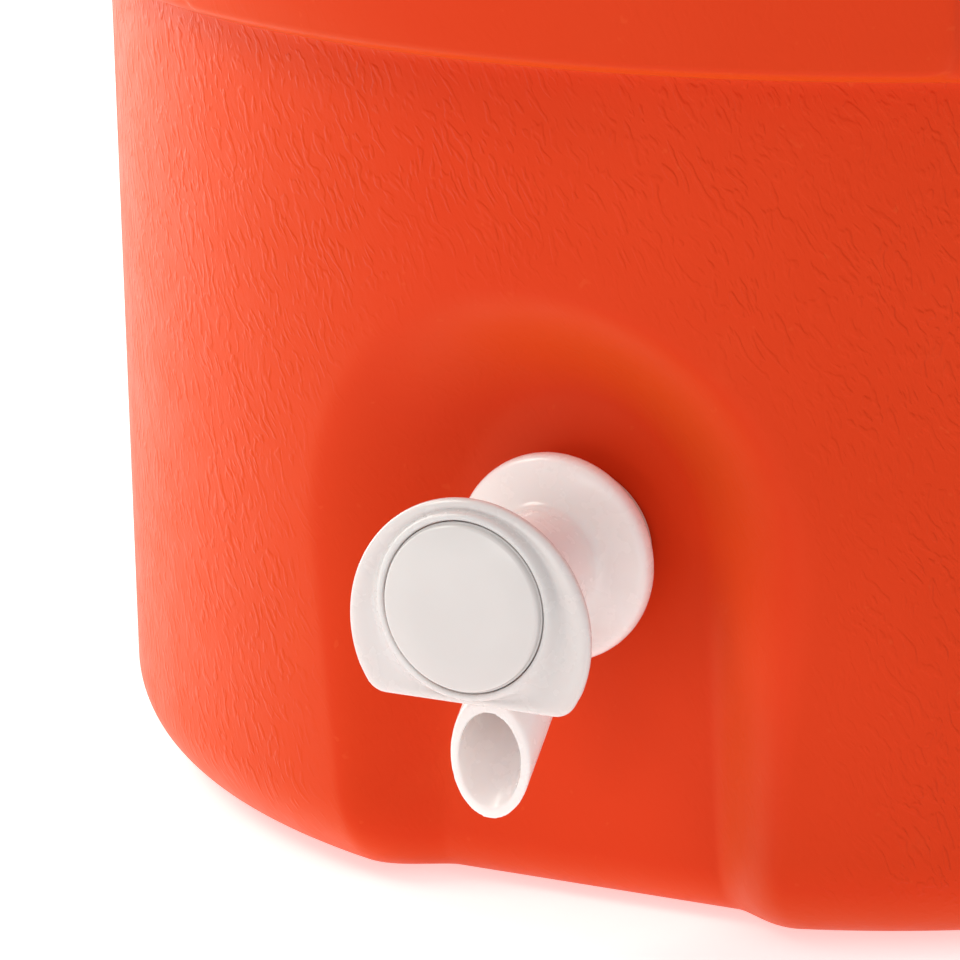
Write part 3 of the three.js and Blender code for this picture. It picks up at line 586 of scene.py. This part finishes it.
def handle_side(side, angle):
    turn = Matrix.Rotation(angle, 4, "Z")
    body = f"handle_{side}"
    arm, drop, corner = 50.0, 104.0, 16.0
    z0, z1 = PIVOT_Z - 4, PIVOT_Z - drop
    path = [(PIVOT_X, arm, z) for z in np.linspace(z0, z1 + corner, 12)]
    path += [(PIVOT_X, arm - corner + corner * math.cos(t), z1 + corner - corner * math.sin(t))
             for t in np.linspace(0, math.pi / 2, 12)[1:]]
    path += [(PIVOT_X, y, z1) for y in np.linspace(arm - corner, 0, 6)[1:]]
    path += [(x, -y, z) for x, y, z in path[::-1][1:]]
    bail = tube(f"{body}_bail_skin", path, 5.0, 28)
    eyes = []
    for s in (1, -1):
        eye = turned("eye", rounded([(0, -5.5), (9, -5.5, 1.2), (9, 5.5, 1.2), (0, 5.5)], 0.5), 40)
        eye.data.transform(along_y(s * arm, PIVOT_Z))
        eyes.append(eye)
    bail = joined(f"{body}_bail_skin", [bail, *eyes])
    hole = turned("hole", [(0, -80), (3.9, -80), (3.9, 80), (0, 80)], 32)
    hole.data.transform(along_y(0, PIVOT_Z))
    moulded(bail, 0.8, 4)
    boolean(bail, [hole], "DIFFERENCE")
    soften(bail, 50)
    bail.name = f"{body}_bail_skin"
    bail.data.transform(turn)
    place(bail, body, "handle_white", f"{body}_bail", material=handle_white)

    ridges = []
    count = 11
    for i in range(count):
        y = -33 + 66 * i / count
        ridges += [(8.2, y + 0.6, 0.3), (9, y + 1.6, 0.8), (9, y + 5, 0.8), (8.2, y + 5.8, 0.3)]
    sleeve = rounded([(5.4, -33, 0.2), *ridges, (8.2, 33, 0.6), (5.4, 33)], 0.4)
    grip = turned(f"{body}_grip_skin", sleeve, 48, closed=True)
    grip.data.transform(turn @ along_y(0, z1))
    place(grip, body, "grip_white", f"{body}_grip", material=grip_white)

    for end in (1, -1):
        tag = f"{side}_{'back' if end * (-1 if angle else 1) > 0 else 'front'}"
        ear = build_ear(end)
        ear.name = f"ear_{tag}_skin"
        ear.data.transform(turn)
        place(ear, "jug", "ear_orange", f"ear_{tag}", material=smooth_orange)
        a = arm - 5.5
        pin = turned(f"pivot_pin_{tag}_skin", rounded([
            (0, a - 2.6), (5.4, a - 2.6, 1), (5.4, a - 0.3, 0.3), (3.5, a - 0.3, 0.2), (3.5, 69.5, 0.6),
            (0, 69.5)], 0.3), 36)
        pin.data.transform(turn @ along_y(0, PIVOT_Z, -end))
        place(pin, "jug", "handle_white", f"pivot_pin_{tag}", material=handle_white)
        screw = build_screw(f"ear_screw_{tag}_skin", turn, end)
        place(screw, "jug", "screw_steel", f"ear_screw_{tag}", material=steel)


def drum(radius, columns=360):
    """A solid that follows the belt around the handle's height."""
    low, high = PIVOT_Z - 60, PIVOT_Z + 60
    lean = TAPER * 60
    return turned("drum", [(0, low), (radius - lean, low), (radius + lean, high), (0, high)], columns)


def build_ear(end):
    """The bracket that holds a pivot pin: a lug, and a foot that follows the belt."""
    face = belt_r(PIVOT_Z) + 1.1
    lug = extruded("lug", rounded([
        (148, -22), (171, -22, 3), (190, -9.6, 3), (194.8, -3, 7), (194.8, 4, 8), (189, 10.4, 6),
        (171, 20, 4), (148, 20)], 1.0), 56.5, 68)
    lug.data.transform(Matrix.Translation((0, 0, PIVOT_Z * MM)))
    foot = box_object("ear_foot", (140, 60, PIVOT_Z - 22), (190, 91, PIVOT_Z + 2), 4, 4)
    boolean(foot, [drum(face + 5)], "INTERSECT")
    ear = joined("ear", [lug, foot])
    moulded(ear, 0.7, 5)
    bore = turned("bore", [(0, 50), (3.8, 50), (3.8, 75), (0, 75)], 32)
    bore.data.transform(along_y(0, PIVOT_Z, -1))
    boolean(ear, [drum(face), bore], "DIFFERENCE")
    soften(ear, 45)
    if end < 0:
        ear.data.transform(Matrix.Diagonal((1, -1, 1, 1)))
        ear.data.flip_normals()
    return ear


def build_screw(name, turn, end):
    """A pan-head screw with a cross recess, square to the belt."""
    r = belt_r(PIVOT_Z) + 6.4
    screw = turned(name, rounded([
        (0, r - 16), (2, r - 13, 0.3), (2, r, 0.2), (4.4, r, 0.4), (4.4, r + 1.2, 1.2), (3.2, r + 2.1, 1.5),
        (0, r + 2.4)], 0.25), 32)
    screw.data.transform(Matrix.Rotation(math.pi / 2, 4, "Y"))
    arms = [box_object("slot", (r + 1.3, -w, -h), (r + 4, w, h)) for w, h in ((2.2, 0.45), (0.45, 2.2))]
    boolean(screw, arms, "DIFFERENCE")
    soften(screw, 40)
    about = Matrix.Rotation(end * math.radians(26.5), 4, "Z")
    screw.data.transform(turn @ about @ Matrix.Translation((0, 0, (PIVOT_Z - 11) * MM)))
    return screw


handle_side("right", 0.0)
handle_side("left", math.pi)

# ---- spigot ----
GUARD_R, GUARD_DROP, GUARD_FLAT, GUARD_CORNER = 25.3, 4.8, 19.6, 5.0
SPOUT_LEAN, SPOUT_R, SPOUT_BORE, SPOUT_CUT, SPOUT_Z = math.radians(45), 8.6, 6.5, 177.4, 40.7


def build_spigot_body():
    flange = to_spigot(turned("flange", rounded([
        (0, 139.8), (14.5, 139.8, 1), (14.5, 146.2, 0.6), (20.8, 146.6, 1.6), (20.8, 151, 1.9),
        (14, 152.6, 4), (11, 153.6, 2.5), (11, 174), (0, 174)], 0.6), 96))
    thread = []
    d = 107.0
    while d < 134:
        thread += [(8.8, d, 0.2), (9.5, d + 0.9, 0.2), (9.5, d + 1.2, 0.2), (8.8, d + 2.1, 0.2)]
        d += 3.2
    tail = to_spigot(turned("tail", rounded([
        (0, 106), (8.8, 106, 0.4), *thread, (9.5, 136), (9.5, 141), (0, 141)], 0.4), 64))
    lean = Matrix.Translation((0, -SPOUT_CUT * MM, SPOUT_Z * MM)) @ Matrix.Rotation(-SPOUT_LEAN, 4, "X")
    spout = turned("spout", [(0, -16), (SPOUT_R, -16), (SPOUT_R, 38), (0, 38)], 72)
    spout.data.transform(lean)
    front = box_object("front", (-30, -230, 0), (30, -SPOUT_CUT, 58))
    boolean(spout, [front], "DIFFERENCE")
    body = joined("tap_body_skin", [flange, spout, tail])
    moulded(body, 0.55, 4)
    bore = turned("bore", subdivided([
        (0, -25), (SPOUT_BORE + 0.4, -25), (SPOUT_BORE - 0.3, 45), (0, 45)], 3), 64)
    bore.data.transform(lean)
    behind_seat = box_object("behind_seat", (-30, -148.9, 0), (30, -90, 120))
    above_axis = box_object("above_axis", (-30, -240, SPIGOT_Z - 2), (30, -90, 160))
    boolean(bore, [behind_seat, above_axis], "DIFFERENCE")
    chamber = to_spigot(turned("chamber", [(0, 148.4), (8.6, 148.4), (8.6, 178), (0, 178)], 64))
    inlet = to_spigot(turned("inlet", [(0, 100), (7, 100), (7, 146), (4.6, 146), (4.6, 149), (0, 149)], 64))
    boolean(body, [chamber, inlet, bore], "DIFFERENCE")
    return moulded(body, 0.42, 4)


def guard_radius(a):
    """Radius of the D-shaped guard seen from the spigot's axis, a measured from +X towards +Z."""
    half = math.sqrt(GUARD_R**2 - (GUARD_FLAT - GUARD_DROP) ** 2)
    top = math.asin((GUARD_FLAT - GUARD_DROP) / GUARD_R)
    outline = [(GUARD_R * math.cos(t), GUARD_R * math.sin(t) - GUARD_DROP)
               for t in np.linspace(-top + 0.02, math.pi + top - 0.02, 240)]
    corner = [(-half, -GUARD_FLAT, GUARD_CORNER), (half, -GUARD_FLAT, GUARD_CORNER)]
    loop = [outline[-12], *corner, outline[11]]
    smooth = subdivided(rounded([(*loop[0], 0), *corner, (*loop[-1], 0)], 0.4), 0.5)
    points = np.array([*outline[12:-12], *smooth])
    angles = np.arctan2(points[:, 1], points[:, 0])
    order = np.argsort(angles)
    return np.interp(a, angles[order], np.hypot(*points.T)[order], period=2 * math.pi)


def build_guard():
    """Profile points are (radius, distance out, share): at share 1 the radius follows the D outline."""
    profile = [
        (2.9, 167.6, 0), (8.2, 167.6, 0), (8.2, 174.3, 0), (13.4, 174.3, 0), (15.5, 175.4, 0),
        (17.6, 177.6, 0.05),
        (19.2, 180.2, 0.15), (21.4, 182.6, 0.5), (24.0, 183.6, 0.9), (25.1, 184.0, 1), (25.5, 184.8, 1),
        (25.4, 185.7, 1), (24.8, 186.3, 1), (23.6, 186.5, 0.9), (22.2, 186.3, 0.7), (20.8, 186.2, 0.45),
        (19.8, 186.4, 0.25), (19.0, 187.1, 0.1), (18.4, 187.9, 0.02), (17.8, 188.3, 0), (17.2, 188.3, 0),
        (16.9, 187.9, 0), (16.85, 187, 0), (16.85, 178, 0),
        (16.0, 176.6, 0), (14.6, 176.3, 0), (2.9, 176.3, 0),
    ]
    dense = np.array(profile)
    for _ in range(2):
        mid = (dense + np.roll(dense, -1, 0)) / 2
        dense = np.stack([dense, mid], 1).reshape(-1, 3)
        dense = 0.25 * np.roll(dense, 1, 0) + 0.5 * dense + 0.25 * np.roll(dense, -1, 0)
    m, n = 180, len(dense)
    a = np.arange(m) * 2 * math.pi / m
    spread = guard_radius(a) - GUARD_R
    r = dense[:, 0][:, None] + dense[:, 2][:, None] * spread[None, :]
    d = np.broadcast_to(dense[:, 1][:, None], r.shape)
    verts = np.stack([r * np.cos(a), -d, SPIGOT_Z + r * np.sin(a)], -1).reshape(-1, 3)
    faces = [(i * m + j, i * m + (j + 1) % m, ((i + 1) % n) * m + (j + 1) % m, ((i + 1) % n) * m + j)
             for i in range(n) for j in range(m)]
    return make_object("tap_guard_skin", verts, faces, 60)


place(build_spigot_body(), "jug", "spigot_white", "spigot_body", material=tap_white)
place(build_guard(), "jug", "spigot_white", "spigot_guard", material=guard_white_painted_shade)
button = to_spigot(turned("tap_button_skin", rounded([
    (0, 186), (2.8, 186, 0.3), (2.8, 183, 0.3), (5.4, 183, 0.4), (5.4, 186, 0.6), (14.5, 186, 0.8),
    (14.5, 183, 0.4), (16.3, 183, 0.5), (16.7, 187.9, 0.1), (16.4, 188.0, 0.1), (16.2, 189.2, 1.2),
    (11, 189.8, 14), (0, 190)], 0.3), 140))
place(button, "tap_button", "button_white", "spigot_button", material=button_white)
stem = to_spigot(turned("tap_stem_skin", rounded([
    (0, 138.6), (4.4, 138.6, 0.5), (4.4, 140.2, 0.3), (2.4, 140.2, 0.3), (2.4, 185.7, 0.4),
    (0, 185.7)], 0.3), 40))
place(stem, "tap_button", "spigot_white", "spigot_stem", material=tap_white)
plunger = to_spigot(turned("plunger_seal_skin", rounded([
    (2.7, 140.6, 0.2), (6.2, 140.6, 0.5), (6.4, 145.6, 0.5), (5.4, 145.6, 0.4),
    (2.7, 144.4, 0.3)], 0.25), 48, closed=True))
place(plunger, "tap_button", "seal_rubber", "plunger_seal", material=seal)
RING_R, RING_CORD, RING_D = 3.75, 0.9, 169.0
o_ring = to_spigot(turned("stem_seal_skin", [
    (RING_R + RING_CORD * math.cos(t), RING_D + RING_CORD * math.sin(t))
    for t in np.arange(20) * math.pi / 10], 48, closed=True))
place(o_ring, "jug", "o_ring_black", "stem_seal", material=black_rubber)
COIL_R, COIL_TURNS, COIL_WIRE, COIL_D0, COIL_D1 = 9.2, 2.6, 0.6, 177.2, 185.1
coil = []
for t in np.linspace(0, 1, 160):
    turn_angle = t * COIL_TURNS * 2 * math.pi
    coil.append((COIL_R * math.cos(turn_angle), -(COIL_D0 + (COIL_D1 - COIL_D0) * t),
                 SPIGOT_Z + COIL_R * math.sin(turn_angle)))
spring = tube("return_spring_skin", coil, COIL_WIRE, 12)
place(spring, "jug", "spring_steel", "return_spring", material=steel)
WASHER_R0, WASHER_R1 = 9.8, 16
for name, d0, d1 in (("outer_gasket", 138.3, 139.5), ("inner_gasket", 119.8, 122.8)):
    washer = to_spigot(turned(f"{name}_skin", rounded([
        (WASHER_R0, d0, 0.3), (WASHER_R1, d0, 0.4), (WASHER_R1, d1, 0.4), (WASHER_R0, d1, 0.3)],
        0.3), 72, closed=True))
    place(washer, "jug", "seal_rubber", name, material=seal)


def build_nut():
    hexagon = [(17 * math.cos(k * math.pi / 3), 17 * math.sin(k * math.pi / 3), 1.5) for k in range(6)]
    mid = tuple((hexagon[0][i] + hexagon[5][i]) / 2 for i in range(2))
    nut = extruded("tap_nut_skin", rounded([mid, *hexagon, mid], 0.5)[:-1], -119.4, -111)
    nut.data.transform(Matrix.Translation((0, 0, SPIGOT_Z * MM)))
    bore = to_spigot(turned("bore", [(0, 100), (9.8, 100), (9.8, 130), (0, 130)], 64))
    boolean(nut, [bore], "DIFFERENCE")
    soften(nut, 30)
    return nut


place(build_nut(), "jug", "spigot_white", "spigot_nut", material=tap_white)

# ---- CAD nodes that keep their own shape, hidden inside the walls ----
for node in ("foam_insulation", "lid_foam"):
    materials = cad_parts[node].data.materials
    materials.clear()
    materials.append(foam)

# ---- floor, light and camera ----
bpy.ops.mesh.primitive_plane_add(size=60, location=(0, 0, -0.0004))
floor = bpy.context.object
floor.name = "floor"
floor.data.materials.append(floor_material("floor"))


def area_light(name, azimuth, elevation, distance, size, power, colour=(1, 1, 1)):
    """A soft light aimed at the lower body, placed by its angles about the jug (0 is the spigot's side)."""
    a, e = math.radians(azimuth), math.radians(elevation)
    aim = Vector((0, 0, 0.12))
    light = bpy.data.objects.new(name, bpy.data.lights.new(name, "AREA"))
    light.data.shape, light.data.size, light.data.size_y = "RECTANGLE", size[0], size[1]
    light.data.energy, light.data.color = power, colour
    outward = Vector((math.sin(a) * math.cos(e), -math.cos(a) * math.cos(e), math.sin(e)))
    light.location = aim + outward * distance
    light.rotation_euler = (aim - light.location).to_track_quat("-Z", "Y").to_euler()
    bpy.context.scene.collection.objects.link(light)


area_light("key", -58, 42, 1.6, (0.6, 0.6), 7.5, (1, 0.98, 0.88))
area_light("edge", -105, 10, 1.3, (0.6, 1.6), 12, (1, 0.98, 0.90))
area_light("fill", -8, 4, 1.8, (0.5, 0.4), 2.0, (1, 0.97, 0.93))

world = bpy.data.worlds.new("studio")
world.use_nodes = True
world.node_tree.nodes["Background"].inputs["Color"].default_value = (1, 1, 1, 1)
world.node_tree.nodes["Background"].inputs["Strength"].default_value = 0.64
bpy.context.scene.world = world
bpy.context.scene.view_settings.view_transform = "Standard"
bpy.context.scene.view_settings.look = "None"

CAMERA_AT = Vector((0.4939, -1.1461, 0.3889))
CAMERA_LOOKS = Vector((-0.4398, 0.8597, -0.2598)).normalized()
CAMERA_ROLL = -0.0040
camera = bpy.data.objects.new("camera", bpy.data.cameras.new("camera"))
camera.data.lens, camera.data.sensor_width = 223.88, 36
camera.location = CAMERA_AT
looking = CAMERA_LOOKS.to_track_quat("-Z", "Y").to_matrix()
camera.rotation_euler = (looking @ Matrix.Rotation(CAMERA_ROLL, 3, "Z")).to_euler()
bpy.context.scene.collection.objects.link(camera)
bpy.context.scene.camera = camera
